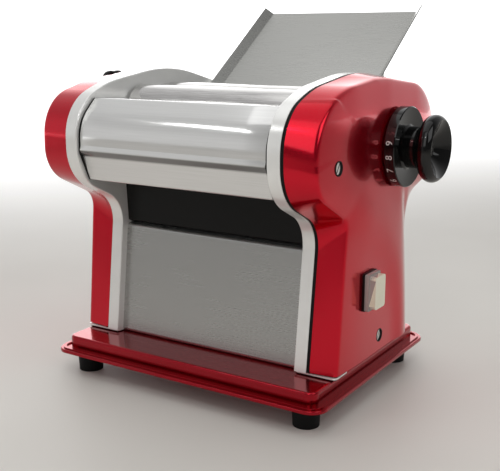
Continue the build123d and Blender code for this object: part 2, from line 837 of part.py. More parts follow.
motor_radius = 41.0
motor_left = -97.0
motor_right = 55.0
with BuildPart() as motor_body:
    with BuildSketch(Plane.YZ.offset(motor_left)):
        with Locations(motor_at):
            Circle(motor_radius)
    extrude(amount=motor_right - motor_left)
    fillet(motor_body.edges().group_by(Axis.X)[-1], 6.0)
    with BuildSketch(Plane.YZ.offset(-(frame_inner + frame_plate))):
        with Locations(motor_at):
            Circle(12.0)
    extrude(amount=motor_left + frame_inner + frame_plate)
    with BuildSketch(Plane.YZ.offset(-(frame_inner + frame_plate))):
        with Locations(motor_at):
            Circle(5.0 + running)
    extrude(amount=40.0, mode=Mode.SUBTRACT)
save(motor_body.part, "motor_body")

with BuildPart() as motor_bracket:
    with BuildSketch(Plane.XY.offset(plateau_top)):
        with Locations((-20.0, motor_at[0])):
            RectangleRounded(120.0, 96.0, 6.0)
    extrude(amount=3.0)
    for x in (-70.0, 25.0):
        with BuildSketch(Plane.YZ.offset(x)):
            with Locations((motor_at[0], plateau_top + 24.0)):
                Rectangle(84.0, 48.0)
            with Locations(motor_at):
                Circle(motor_radius + 0.1, mode=Mode.SUBTRACT)
        extrude(amount=5.0)
save(motor_bracket.part, "motor_bracket")

motor_pinion = (
    gear_solid(motor_at, motor_teeth, motor_module, motor_phase, mesh_plane_3, 5.0)
    + rod_between(motor_at, 5.0, mesh_plane_3 - 3.5, -68.0)
)
save(motor_pinion, "motor_pinion")

# =============================== thickness dial ===============================

with BuildPart() as dial_shaft:
    with BuildSketch(Plane.YZ.offset(-110.0)):
        with Locations(dial_at):
            Circle(dial_shaft_radius)
    extrude(amount=110.0 + shaft_end)
    with BuildSketch(Plane.YZ.offset(shaft_end)):
        with Locations(dial_at):
            Circle(6.6)
    extrude(amount=2.0)
save(dial_shaft.part, "dial_shaft")

# Each cam is a snail: its radius towards the block falls evenly as the dial is turned.
cam_fall = gap_travel / radians(setting_angle * (settings - 1))


def cam_point(angle_back):
    radius = cam_radius - cam_fall * angle_back
    direction = pi - angle_back
    return (dial_at[0] + radius * cos(direction), dial_at[1] + radius * sin(direction))


cam_steps = 12
cam_sweep = radians(200.0)
with BuildPart() as gap_cams:
    for side in (-1, 1):
        with BuildSketch(Plane.YZ.offset(side * (frame_inner + frame_plate + 0.8))):
            with BuildLine() as snail:
                curve = Spline(*[cam_point(cam_sweep * s / cam_steps) for s in range(cam_steps + 1)])
                ThreePointArc(
                    curve @ 1,
                    (dial_at[0] + 1.0, dial_at[1] - 8.6),
                    curve @ 0,
                )
            make_face()
            with Locations(dial_at):
                Circle(dial_shaft_radius, mode=Mode.SUBTRACT)
        extrude(amount=side * 3.6)
save(gap_cams.part, "gap_cams")

with BuildPart() as dial_bushes:
    for side in (-1, 1):
        with BuildSketch(Plane.YZ.offset(side * (frame_inner - 1.0))):
            with Locations(dial_at):
                Circle(dial_shaft_radius + running + bush_wall)
                Circle(dial_shaft_radius + running, mode=Mode.SUBTRACT)
        extrude(amount=side * (frame_plate + 1.0))
    with BuildSketch(Plane.YZ.offset(132.0)):
        with Locations(dial_at):
            Circle(8.0)
            Circle(dial_shaft_radius + running, mode=Mode.SUBTRACT)
    extrude(amount=pad_face - 132.0)
save(dial_bushes.part, "dial_bushes")

dial_axis_plane = Plane(origin=(0, dial_at[0], dial_at[1]), x_dir=(1, 0, 0), z_dir=(0, -1, 0))
spring_bore = 8.2
spring_seat = shaft_end - 14.0
with BuildPart() as thickness_dial:
    with BuildSketch(dial_axis_plane):
        with BuildLine():
            Polyline(
                (dial_inner_face, dial_shaft_radius + running),
                (dial_inner_face, dial_radius),
                (dial_inner_face + dial_rim - 0.8, dial_radius),
                (dial_inner_face + dial_rim, dial_radius - 0.8),
                (dial_inner_face + dial_rim - dial_dish, neck_radius + 2.0),
                (dial_inner_face + dial_rim, neck_radius),
                (spring_seat, neck_radius),
                (spring_seat, dial_shaft_radius + running),
                close=True,
            )
        make_face()
    revolve(axis=Axis((0, dial_at[0], dial_at[1]), (1, 0, 0)))
save(thickness_dial.part, "thickness_dial")

with BuildPart() as dial_knob:
    with BuildSketch(dial_axis_plane):
        with BuildLine():
            Line((spring_seat, spring_bore), (spring_seat, neck_radius))
            Line((spring_seat, neck_radius), (166.5, neck_radius))
            Spline(
                (166.5, neck_radius), (170.9, neck_radius + 3.0), (173.5, knob_radius - 3.0),
                tangents=[(1, 0), (0.35, 1)],
            )
            ThreePointArc((173.5, knob_radius - 3.0), (180.2, knob_radius), (187.0, dish_radius))
            ThreePointArc((187.0, dish_radius), (180.8, 16.5), (174.0, spring_bore))
            Line((174.0, spring_bore), (spring_seat, spring_bore))
        make_face()
    revolve(axis=Axis((0, dial_at[0], dial_at[1]), (1, 0, 0)))
save(dial_knob.part, "dial_knob")

pin_angle = radians(100.0)
pin_at = (
    dial_at[0] + index_radius * cos(pin_angle),
    dial_at[1] + index_radius * sin(pin_angle),
)
save(rod_between(pin_at, 1.2, dial_inner_face - 0.7, dial_inner_face), "index_pin")

spring_turns = 5.0
spring_wire = 0.5
spring_mean = 6.6
spring_length = shaft_end - spring_seat - 1.6
with BuildPart() as dial_spring:
    with BuildLine() as coil:
        Helix(
            pitch=spring_length / spring_turns, height=spring_length, radius=spring_mean,
            center=(spring_seat + 0.8, dial_at[0], dial_at[1]), direction=(1, 0, 0),
        )
    with BuildSketch(Plane(origin=coil.line @ 0, z_dir=coil.line % 0)):
        Circle(spring_wire)
    sweep(path=coil.line, is_frenet=True)
save(dial_spring.part, "dial_spring")

# =============================== switch ===============================

with BuildPart() as switch_body:
    with BuildSketch(Plane.YZ.offset(casing_outer - 22.0)):
        with Locations(switch_at):
            Rectangle(switch_box_y, switch_box_z)
    extrude(amount=22.0)
    with BuildSketch(Plane.YZ.offset(casing_outer)):
        with Locations(switch_at):
            RectangleRounded(switch_depth_y, switch_height, 2.0)
    extrude(amount=2.4)
    with BuildSketch(Plane.YZ.offset(casing_outer - 12.0)):
        with Locations(switch_at):
            Rectangle(14.0, 24.0)
    extrude(amount=20.0, mode=Mode.SUBTRACT)
save(switch_body.part, "switch_body")

with BuildPart() as switch_rocker:
    with BuildSketch(Plane.XZ.offset(-(switch_at[0] + 6.7))):
        with BuildLine():
            Line((casing_outer - 7.0, switch_at[1] - 8.0), (casing_outer + 2.0, switch_at[1] - 10.8))
            Line((casing_outer + 2.0, switch_at[1] - 10.8), (casing_outer + 6.2, switch_at[1] - 10.2))
            ThreePointArc(
                (casing_outer + 6.2, switch_at[1] - 10.2),
                (casing_outer + 3.6, switch_at[1]),
                (casing_outer + 4.6, switch_at[1] + 10.6),
            )
            Line((casing_outer + 4.6, switch_at[1] + 10.6), (casing_outer + 2.0, switch_at[1] + 10.8))
            Line((casing_outer + 2.0, switch_at[1] + 10.8), (casing_outer - 7.0, switch_at[1] + 8.0))
            Line((casing_outer - 7.0, switch_at[1] + 8.0), (casing_outer - 7.0, switch_at[1] - 8.0))
        make_face()
    extrude(amount=13.4)
save(switch_rocker.part, "switch_rocker")

boot_wall = 1.0
with BuildPart() as switch_boot:
    with BuildSketch(Plane.YZ.offset(casing_outer + 2.4)):
        with Locations(switch_at):
            RectangleRounded(switch_depth_y - 1.0, switch_height - 1.0, 2.0)
    extrude(amount=3.6)
    with BuildSketch(Plane.YZ.offset(casing_outer + 6.0)):
        with Locations(switch_at):
            RectangleRounded(switch_depth_y - 5.0, switch_height - 5.0, 3.0)
    extrude(amount=6.0)
    with BuildSketch(Plane.YZ.offset(casing_outer + 2.4)):
        with Locations(switch_at):
            RectangleRounded(switch_depth_y - 7.0, switch_height - 7.0, 2.0)
    extrude(amount=9.6 - boot_wall, mode=Mode.SUBTRACT)
save(switch_boot.part, "switch_boot")

# =============================== feed tray ===============================

rise = radians(tray_rise)
tray_along = (cos(rise), sin(rise))
tray_end = (
    tray_foot[0] + tray_length * tray_along[0],
    tray_foot[1] + tray_length * tray_along[1],
)
tray_plane = Plane(
    origin=(0, tray_foot[0], tray_foot[1]), x_dir=(1, 0, 0),
    z_dir=(0, tray_along[0], tray_along[1]),
)
tray_gauge = 1.0
flange_out = tray_half - 0.4 + tray_flange / 2 * cos(radians(tray_splay))
flange_up = tray_flange / 2 * sin(radians(tray_splay))
with BuildPart() as feed_tray:
    with BuildSketch(tray_plane):
        Rectangle(2 * tray_half, tray_gauge)
        for side in (-1, 1):
            with Locations(Location((side * flange_out, -flange_up), -side * tray_splay)):
                Rectangle(tray_flange, tray_gauge)
    extrude(amount=tray_length)
    # hook plates that reach down over the rear tie rod
    for side in (-1, 1):
        with BuildSketch(Plane.YZ.offset(side * (hook_middle - hook_thick / 2))):
            with BuildLine():
                Polyline(
                    (tray_foot[0] + 19.0, tray_foot[1] + 13.0),
                    (tray_foot[0] + 49.0, tray_foot[1] + 34.5),
                    (128.0, 276.0),
                    (128.0, 258.0),
                    (123.3, 258.0),
                    (123.3, 267.3),
                    (112.7, 267.3),
                    (112.7, 258.0),
                    (108.0, 258.0),
                    (104.0, 276.0),
                    close=True,
                )
            make_face()
        extrude(amount=side * hook_thick)
save(feed_tray.part, "feed_tray")

# =============================== scrapers and combs ===============================


def scraper(at, angle):
    """Blade that lies just clear of a smooth roller, held between the side frames."""
    reach = roller_radius + 0.4
    direction = radians(angle)
    tip = (at[0] + reach * cos(direction), at[1] + reach * sin(direction))
    blade = Plane(
        origin=(-frame_inner, tip[0], tip[1]), x_dir=(0, cos(direction), sin(direction)),
        z_dir=(1, 0, 0),
    )
    with BuildPart() as strip:
        with BuildSketch(blade):
            with Locations((7.0, 0.0)):
                Rectangle(14.0, 1.5)
        extrude(amount=2 * frame_inner)
    return strip.part


save(Compound(children=[scraper(front_roller_at, 292.0), scraper(rear_roller_at, 248.0)]),
     "roller_scrapers")


def cutter_comb(at, angle, ring_shift):
    """Bar with one tooth in every groove of a cutter roller."""
    direction = radians(angle)
    bar_plane = Plane(
        origin=(-frame_inner, at[0], at[1]), x_dir=(0, cos(direction), sin(direction)),
        z_dir=(1, 0, 0),
    )
    tooth_width = 2.0
    tooth_root = groove_radius + 0.5
    ring_count = int(2 * cutter_half_length / ring_pitch)
    with BuildPart() as comb:
        with BuildSketch(bar_plane):
            with Locations((ring_radius + 4.0, 0.0)):
                Rectangle(5.0, 3.0)
        extrude(amount=2 * frame_inner)
        for ring in range(ring_count - 1):
            start = ring_shift + ring * ring_pitch + ring_width
            start += (ring_pitch - ring_width - tooth_width) / 2
            first = bar_plane.offset(frame_inner - cutter_half_length + start)
            with BuildSketch(first):
                with Locations(((tooth_root + ring_radius + 2.0) / 2, 0.0)):
                    Rectangle(ring_radius + 2.0 - tooth_root, 1.6)
            extrude(amount=tooth_width)
    return comb.part


save(Compound(children=[
    cutter_comb(front_cutter_at, 285.0, 0.15),
    cutter_comb(rear_cutter_at, 255.0, 0.15 + ring_pitch / 2),
]), "cutter_combs")

# Moulded bar behind the cutters, between the combs and the lower panel.
with BuildPart() as comb_holder:
    with BuildSketch(Plane.YZ.offset(-frame_inner)):
        with BuildLine():
            FilletPolyline(
                (-54.5, 149.0), (-58.0, 205.5), (-44.0, 205.5), (-44.0, 149.0),
                radius=2.0, close=True,
            )
        make_face()
    extrude(amount=2 * frame_inner)
save(comb_holder.part, "comb_holder")

# =============================== selector knob and cable gland ===============================

with BuildPart() as selector_bush:
    with BuildSketch(Plane.YZ.offset(-casing_outer - 1.0)):
        with Locations(selector_at):
            Circle(7.0)
            Circle(4.0 + running, mode=Mode.SUBTRACT)
    extrude(amount=7.0)
save(selector_bush.part, "selector_bush")

knob_inner = -146.6
lobes = 6
with BuildPart() as selector_knob:
    with BuildSketch(Plane.YZ.offset(knob_inner)):
        with Locations(selector_at):
            Circle(14.0)
            with PolarLocations(12.5, lobes):
                Circle(4.6)
    extrude(amount=-15.0)
    with BuildSketch(Plane.YZ.offset(knob_inner)):
        with Locations(selector_at):
            Circle(4.0)
    extrude(amount=11.0)
save(selector_knob.part, "selector_knob")

gland_at = (60.0, 62.0)
gland_plane = Plane.XZ.offset(-97.0)
with BuildPart() as cable_gland:
    with BuildSketch(gland_plane):
        with Locations(gland_at):
            Circle(6.0)
    extrude(amount=-19.0)
    with BuildSketch(Plane.XZ.offset(-103.6)):
        with Locations(gland_at):
            RegularPolygon(9.0, 6)
    extrude(amount=-5.0)
    with BuildSketch(gland_plane):
        with Locations(gland_at):
            Circle(3.6)
    extrude(amount=-19.0, mode=Mode.SUBTRACT)
save(cable_gland.part, "cable_gland")
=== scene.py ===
import json
import math

import bmesh
import bpy
from mathutils import Euler, Matrix, Vector

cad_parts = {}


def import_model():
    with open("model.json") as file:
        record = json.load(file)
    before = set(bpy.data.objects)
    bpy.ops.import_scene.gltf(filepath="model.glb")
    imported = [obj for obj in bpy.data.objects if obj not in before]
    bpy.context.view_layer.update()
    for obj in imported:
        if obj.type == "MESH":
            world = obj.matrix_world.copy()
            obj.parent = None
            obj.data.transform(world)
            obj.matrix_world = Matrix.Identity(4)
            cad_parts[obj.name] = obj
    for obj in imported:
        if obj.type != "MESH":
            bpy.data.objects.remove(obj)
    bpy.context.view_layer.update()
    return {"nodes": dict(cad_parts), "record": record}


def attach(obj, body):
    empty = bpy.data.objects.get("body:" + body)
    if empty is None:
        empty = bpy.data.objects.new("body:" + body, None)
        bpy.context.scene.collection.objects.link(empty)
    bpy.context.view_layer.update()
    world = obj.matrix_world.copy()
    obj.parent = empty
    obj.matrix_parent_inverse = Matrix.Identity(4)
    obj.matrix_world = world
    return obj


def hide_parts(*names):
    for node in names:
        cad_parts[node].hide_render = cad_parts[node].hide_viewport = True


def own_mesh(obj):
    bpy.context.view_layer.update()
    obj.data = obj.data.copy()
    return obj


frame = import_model()
NODES = frame["nodes"]


# ---------------------------------------------------------------- materials
EVEN = (1, 1, 1)
BRUSHED = (0.02, 1, 1)
GROUND = (0.06, 1, 1)


class Nodes:
    """Small helper that adds shader nodes and links them by name."""

    def __init__(self, name):
        self.material = bpy.data.materials.new(name)
        self.material.use_nodes = True
        self.tree = self.material.node_tree
        self.shader = self.tree.nodes["Principled BSDF"]
        self.coords = self.tree.nodes.new("ShaderNodeTexCoord")

    def new(self, kind, **values):
        node = self.tree.nodes.new(kind)
        for key, value in values.items():
            if key in node.inputs:
                node.inputs[key].default_value = value
            else:
                setattr(node, key, value)
        return node

    def link(self, source, target):
        self.tree.links.new(source, target)

    def set(self, **values):
        for key, value in values.items():
            self.shader.inputs[key.replace("_", " ")].default_value = value

    def scaled(self, scale):
        """Object coordinates stretched by a vector."""
        mapping = self.new("ShaderNodeMapping")
        mapping.inputs["Scale"].default_value = scale
        self.link(self.coords.outputs["Object"], mapping.inputs["Vector"])
        return mapping.outputs["Vector"]

    def noise(self, scale, detail, roughness, stretch=EVEN):
        """Noise factor in object space."""
        node = self.new("ShaderNodeTexNoise", Scale=scale, Detail=detail, Roughness=roughness)
        self.link(self.scaled(stretch), node.inputs["Vector"])
        return node.outputs["Fac"]

    def spread(self, factor, low, high, start=0.3, end=0.7):
        """Map a 0..1 factor between two numbers."""
        node = self.new("ShaderNodeMapRange")
        node.inputs["From Min"].default_value = start
        node.inputs["From Max"].default_value = end
        node.inputs["To Min"].default_value = low
        node.inputs["To Max"].default_value = high
        self.link(factor, node.inputs["Value"])
        return node.outputs["Result"]

    def colours(self, factor, low, high, start=0.3, end=0.7):
        """Blend two colours by a factor into Base Color."""
        ramp = self.new("ShaderNodeValToRGB")
        ramp.color_ramp.elements[0].position = start
        ramp.color_ramp.elements[0].color = (*low, 1)
        ramp.color_ramp.elements[1].position = end
        ramp.color_ramp.elements[1].color = (*high, 1)
        self.link(factor, ramp.inputs["Fac"])
        self.link(ramp.outputs["Color"], self.shader.inputs["Base Color"])

    def bump(self, height, strength, distance, target="Normal"):
        """Turn a height into the normal of the surface or of its coat."""
        node = self.new("ShaderNodeBump", Strength=strength, Distance=distance)
        self.link(height, node.inputs["Height"])
        self.link(node.outputs["Normal"], self.shader.inputs[target])


def metal(name, low, high, rough_low, rough_high, scale, stretch=EVEN, bump=0.02, metallic=1.0):
    """Worked metal whose tone and roughness vary along its working direction."""
    n = Nodes(name)
    n.set(Metallic=metallic)
    grain = n.noise(scale, 4.0, 0.6, stretch)
    n.colours(grain, low, high)
    smudge = n.noise(9.0, 3.0, 0.6)
    mix = n.new("ShaderNodeMath", operation="MULTIPLY")
    n.link(grain, mix.inputs[0])
    n.link(smudge, mix.inputs[1])
    n.link(n.spread(mix.outputs[0], rough_low, rough_high, 0.12, 0.42), n.shader.inputs["Roughness"])
    n.bump(grain, bump, 0.0004)
    return n.material


def polished(name):
    """Stainless sheet polished along the rollers."""
    return metal(
        name, (0.80, 0.80, 0.79), (0.86, 0.86, 0.85), 0.12, 0.17, 900.0, BRUSHED, bump=0.003, metallic=0.62)


def dulled_band(material, low, high, depth):
    """Painted shade: darken the steel between two heights, standing in for the dark reflection in the fold
    under a pressed line.
    """
    tree = material.node_tree
    shader = tree.nodes["Principled BSDF"]
    source = shader.inputs["Base Color"].links[0].from_socket
    coords = tree.nodes.new("ShaderNodeTexCoord")
    split = tree.nodes.new("ShaderNodeSeparateXYZ")
    reach = tree.nodes.new("ShaderNodeMapRange")
    reach.inputs["From Min"].default_value = low
    reach.inputs["From Max"].default_value = high
    tone = tree.nodes.new("ShaderNodeValToRGB")
    tone.color_ramp.interpolation = "EASE"
    tone.color_ramp.elements[0].color = (1, 1, 1, 1)
    tone.color_ramp.elements[1].color = (1, 1, 1, 1)
    for place in (0.35, 0.8):
        stop = tone.color_ramp.elements.new(place)
        stop.color = (depth, depth, depth, 1)
    mix = tree.nodes.new("ShaderNodeMixRGB")
    mix.blend_type = "MULTIPLY"
    mix.inputs["Fac"].default_value = 1.0
    tree.links.new(coords.outputs["Object"], split.inputs[0])
    tree.links.new(split.outputs["Z"], reach.inputs["Value"])
    tree.links.new(reach.outputs["Result"], tone.inputs["Fac"])
    tree.links.new(source, mix.inputs[1])
    tree.links.new(tone.outputs["Color"], mix.inputs[2])
    tree.links.new(mix.outputs["Color"], shader.inputs["Base Color"])
    return material


def paint(name, low, high, metallic, roughness):
    """Metallic lacquer: fine flake under a smooth clear coat with slight orange peel."""
    n = Nodes(name)
    n.set(Metallic=metallic, Coat_Weight=1.0, Coat_Roughness=0.03, Coat_IOR=1.25)
    flake = n.noise(2600.0, 1.0, 0.5)
    cloud = n.noise(14.0, 3.0, 0.55)
    n.colours(cloud, low, high, 0.2, 0.8)
    n.link(n.spread(flake, roughness - 0.06, roughness + 0.08), n.shader.inputs["Roughness"])
    n.bump(flake, 0.05, 0.00005)
    n.bump(n.noise(240.0, 2.0, 0.5), 0.03, 0.0003, "Coat Normal")
    return n.material


def moulded(name, low, high, rough_low, rough_high, grain, bump, coat=0.0, shine=0.5):
    """Plastic or rubber with a fine moulded grain and a little handling shine."""
    n = Nodes(name)
    if coat:
        n.set(Coat_Weight=coat, Coat_Roughness=0.04)
    n.set(Specular_IOR_Level=shine)
    fine = n.noise(grain, 3.0, 0.6)
    wear = n.noise(25.0, 4.0, 0.6)
    n.colours(wear, low, high)
    n.link(n.spread(wear, rough_low, rough_high), n.shader.inputs["Roughness"])
    n.bump(fine, bump, 0.0002)
    return n.material


def clear_silicone(name):
    """Slightly hazy clear rubber."""
    n = Nodes(name)
    n.set(Transmission_Weight=0.6, IOR=1.41)
    haze = n.noise(60.0, 3.0, 0.6)
    n.colours(haze, (0.92, 0.80, 0.76), (0.98, 0.88, 0.84))
    n.link(n.spread(haze, 0.05, 0.16), n.shader.inputs["Roughness"])
    n.bump(haze, 0.15, 0.0004)
    return n.material


MATERIALS = {
    "red_base": paint("red_base_paint", (0.34, 0.0, 0.009), (0.40, 0.0005, 0.012), 0.88, 0.20),
    "red_casing": paint("red_casing_paint", (0.62, 0.0, 0.016), (0.70, 0.0005, 0.020), 0.84, 0.18),
    "rubber": moulded(
        "foot_rubber", (0.002, 0.002, 0.002), (0.005, 0.005, 0.005), 0.5, 0.75, 900.0, 0.3, shine=0.2),
    "zinc_steel": metal("zinc_plate", (0.50, 0.50, 0.50), (0.66, 0.66, 0.64), 0.25, 0.45, 120.0),
    "bright_screw": metal("bright_nickel", (0.80, 0.80, 0.79), (0.92, 0.91, 0.90), 0.06, 0.16, 200.0),
    "chrome_trim": metal(
        "satin_chrome", (0.94, 0.94, 0.92), (0.98, 0.98, 0.96), 0.20, 0.26, 60.0, bump=0.0, metallic=0.36),
    "polished_steel": polished("polished_stainless"),
    "tray_steel": metal(
        "satin_stainless", (0.47, 0.47, 0.45), (0.50, 0.50, 0.48), 0.26, 0.31, 1400.0, BRUSHED,
        bump=0.0015, metallic=0.85),
    "roller_steel": metal("ground_steel", (0.58, 0.57, 0.56), (0.72, 0.71, 0.70), 0.12, 0.24, 700.0, GROUND),
    "bronze": metal("sintered_bronze", (0.50, 0.34, 0.16), (0.66, 0.48, 0.26), 0.3, 0.5, 500.0, bump=0.1),
    "gear_steel": metal("greased_gear", (0.28, 0.28, 0.28), (0.42, 0.42, 0.42), 0.25, 0.5, 300.0, bump=0.05),
    "motor_paint": moulded("motor_enamel", (0.05, 0.055, 0.06), (0.08, 0.085, 0.09), 0.35, 0.5, 700.0, 0.2),
    "black_gloss": moulded(
        "polished_black", (0.002, 0.002, 0.002), (0.004, 0.004, 0.004), 0.05, 0.12, 300.0, 0.01,
        coat=0.12, shine=0.35),
    "black_plastic": moulded(
        "satin_black", (0.002, 0.002, 0.002), (0.005, 0.005, 0.005), 0.3, 0.5, 900.0, 0.15, shine=0.2),
    "cream_plastic": moulded("cream_rocker", (0.62, 0.56, 0.42), (0.74, 0.68, 0.52), 0.25, 0.4, 600.0, 0.1),
    "clear_silicone": clear_silicone("clear_boot"),
}


def smooth_by_angle(mesh, limit):
    """Shade smooth, with edges sharper than the limit kept crisp. Coordinates stay as they are."""
    mesh.polygons.foreach_set("use_smooth", [True] * len(mesh.polygons))
    mesh.update()
    work = bmesh.new()
    work.from_mesh(mesh)
    sharp = [
        edge.index for edge in work.edges
        if len(edge.link_faces) != 2 or edge.calc_face_angle(0.0) > math.radians(limit)
    ]
    work.free()
    flags = [False] * len(mesh.edges)
    for index in sharp:
        flags[index] = True
    attribute = mesh.attributes.get("sharp_edge") or mesh.attributes.new("sharp_edge", "BOOLEAN", "EDGE")
    attribute.data.foreach_set("value", flags)


for subpart in frame["record"]["subparts"]:
    node = NODES[subpart["node"]]
    node.data.materials.clear()
    node.data.materials.append(MATERIALS[subpart["material_slot"]])
# painted shade: the lower panel gets a darker copy of the stainless, standing in for the shadow it lies in
NODES["lower_panel"].data.materials[0] = metal(
    "shaded_panel", (0.42, 0.42, 0.41), (0.45, 0.45, 0.44), 0.24, 0.30, 900.0, BRUSHED,
    bump=0.001, metallic=0.8)
NODES["dial_shaft"].data.materials[0] = MATERIALS["black_gloss"]

# the outer face and rim of the switch boot are frosted, its sides are clear
FROST_FROM = 0.1545
boot = NODES["switch_boot"].data
boot.materials.append(moulded(
    "frosted_boot", (0.90, 0.86, 0.68), (0.96, 0.92, 0.74), 0.25, 0.4, 500.0, 0.1, coat=0.3))
for polygon in boot.polygons:
    polygon.material_index = 1 if polygon.center.x > FROST_FROM else 0


# ---------------------------------------------------------------- shapes
MM = 0.001
MERGE_WITHIN = 0.00002
CREASE_ANGLE = 38.0


def made(name, mesh, material, body, replaced=()):
    """Turn a finished mesh into a shown piece that rides on a body."""
    piece = bpy.data.objects.new(name, mesh)
    bpy.context.scene.collection.objects.link(piece)
    mesh.materials.append(material)
    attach(piece, body)
    if replaced:
        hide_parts(*replaced)
    return piece


def mesh_from(name, points, faces):
    """Mesh from points in millimetres, with doubled points merged and normals facing out."""
    mesh = bpy.data.meshes.new(name)
    mesh.from_pydata([tuple(MM * value for value in point) for point in points], [], faces)
    work = bmesh.new()
    work.from_mesh(mesh)
    bmesh.ops.remove_doubles(work, verts=work.verts, dist=MERGE_WITHIN)
    bmesh.ops.recalc_face_normals(work, faces=work.faces)
    work.to_mesh(mesh)
    work.free()
    mesh.polygons.foreach_set("use_smooth", [True] * len(mesh.polygons))
    return mesh


def about(x, centre, radius, angle):
    """Point at a radius and angle from the line through centre (y, z) that runs along X."""
    return x, centre[0] + radius * math.cos(angle), centre[1] + radius * math.sin(angle)


def lathe(name, profile, centre, segments):
    """Revolve (x, radius) points about the line through centre (y, z) that runs along X."""
    points, faces = [], []
    count = len(profile)
    for turn in range(segments):
        points += [about(x, centre, radius, 2 * math.pi * turn / segments) for x, radius in profile]
    for turn in range(segments):
        here, there = turn * count, ((turn + 1) % segments) * count
        for step in range(count - 1):
            faces.append((here + step, here + step + 1, there + step + 1, there + step))
    return mesh_from(name, points, faces)


def tube(name, rings):
    """Closed skin over rings of points, with flat ends. All rings have the same count of points."""
    around = len(rings[0])
    faces = []
    for ring in range(len(rings) - 1):
        for step in range(around):
            here, there = ring * around + step, ring * around + (step + 1) % around
            faces.append((here, there, there + around, here + around))
    faces.append(tuple(range(around)))
    faces.append(tuple(range((len(rings) - 1) * around, len(rings) * around)))
    return mesh_from(name, [point for ring in rings for point in ring], faces)


def outline(corners, line_steps, arc_steps):
    """Rounded open path through (y, z, radius) corners, with the same count of points for any radii."""
    cuts = [[Vector(corners[0][:2])]]
    for before, corner, after in zip(corners, corners[1:], corners[2:]):
        place = Vector(corner[:2])
        back = (Vector(before[:2]) - place).normalized()
        ahead = (Vector(after[:2]) - place).normalized()
        half = back.angle(ahead) / 2
        reach = corner[2] / math.tan(half)
        centre = place + (back + ahead).normalized() * corner[2] / math.sin(half)
        start, end = place + back * reach - centre, place + ahead * reach - centre
        swing = start.angle_signed(end)
        arc = []
        for step in range(arc_steps + 1):
            turned = start.copy()
            turned.rotate(Matrix.Rotation(-swing * step / arc_steps, 2))
            arc.append(centre + turned)
        cuts.append(arc)
    cuts.append([Vector(corners[-1][:2])])
    path = []
    for piece, following in zip(cuts, cuts[1:]):
        path += piece
        for step in range(1, line_steps):
            path.append(piece[-1].lerp(following[0], step / line_steps))
    return path + cuts[-1]


def smooth(value, low, high):
    """Ease from 0 at low to 1 at high."""
    part = min(max((value - low) / (high - low), 0.0), 1.0)
    return part * part * (3 - 2 * part)


def along(stops, count, line_steps, arc_steps):
    """Spread one value per corner evenly over the points of an outline."""
    spacing = line_steps + arc_steps
    first = line_steps + arc_steps / 2
    last = count - 1 - first
    values = []
    for index in range(count):
        if index < first:
            place = index / first
        elif index > last:
            place = len(stops) - 2 + (index - last) / first
        else:
            place = (index + arc_steps / 2) / spacing
        low = min(int(place), len(stops) - 2)
        part = smooth(place, low, low + 1)
        values.append(stops[low] * (1 - part) + stops[low + 1] * part)
    return values


# ---------------------------------------------------------------- casings
# Each shell rises from the seam, a (y, z, corner radius) path on the black seal, to the ridge, and rolls over
# it toward the spine in the middle of the outer panel. Every list has one entry for each corner of the seam.
SEAM = [
    (-77.0, 40.4, 0), (-61.5, 169.4, 32), (-125.0, 200.5, 45), (-125.0, 268.0, 45), (-75.0, 287.5, 120),
    (18.2, 300.6, 220), (150.0, 268.5, 44), (150.0, 202.0, 44), (91.0, 171.0, 32), (105.0, 40.4, 0),
]
RIDGE = {
    1: [
        (-74.0, 40.4, 0), (-60.5, 176.0, 12), (-115.0, 205.5, 30), (-115.0, 266.0, 54), (-60.0, 287.5, 130),
        (20.0, 293.5, 200), (149.0, 282.0, 65), (149.0, 194.0, 36), (89.0, 170.0, 30), (98.0, 40.4, 0),
    ],
    -1: [
        (-74.0, 40.4, 0), (-60.5, 172.5, 18), (-121.5, 203.5, 38), (-121.5, 268.5, 44), (-72.0, 286.5, 110),
        (18.2, 297.0, 220), (146.0, 280.0, 60), (148.0, 196.0, 38), (87.0, 172.0, 30), (100.0, 40.4, 0),
    ],
}
SPINE = [
    (12.0, 40.4), (12.0, 240.0), (-45.0, 240.0), (-45.0, 240.0), (-20.0, 240.0),
    (12.0, 240.0), (70.0, 240.0), (70.0, 240.0), (12.0, 240.0), (12.0, 40.4),
]
RIDGE_X = {
    1: [143.0, 143.5, 143.0, 142.0, 141.0, 139.0, 138.0, 137.0, 133.0, 133.5],
    -1: [143.0, 144.0, 147.0, 147.0, 144.0, 140.0, 138.0, 137.0, 133.0, 133.5],
}
RIDGE_SOFT = [5.0, 4.4, 3.6, 4.6, 7.0, 10.0, 11.0, 10.0, 9.0, 9.0]
FALL_WIDTH = [50.0, 50.0, 58.0, 55.0, 50.0, 42.0, 46.0, 50.0, 52.0, 44.0]
SEAM_X = {1: 117.9, -1: 114.6}
PANEL_X = 145.0
FLANK_PARTS = (0.0, 0.06, 0.35, 0.68)
PANEL_PARTS = (0.16, 0.26, 0.36, 0.46, 0.57, 0.7, 0.85, 1.0)
LINE_STEPS, ARC_STEPS = 12, 12
CASING_WALL = 2.5
SWELL_CENTRE = Vector((-75.0, 40.0))
SWELL_HEIGHT = 3.2
SWELL_FROM, SWELL_CREST, SWELL_TO = 112.0, 142.0, 186.0
VALLEY_Y, VALLEY_Z = 98.0, 40.0
VALLEY_BEND = 0.0016
VALLEY_WIDTH = 8.0
VALLEY_DEPTH = 4.0
VALLEY_FADE_FROM, VALLEY_FADE_TO = 165.0, 200.0
CASING_SCREWS = {1: [(-81.5, 224.0), (10.0, 55.0)], -1: [(-50.0, 181.0), (10.0, 50.0)]}
RECESS_RADIUS = 5.8
RECESS_FROM, RECESS_TO = 120.0, 160.0
SCREW_BORE = 2.1
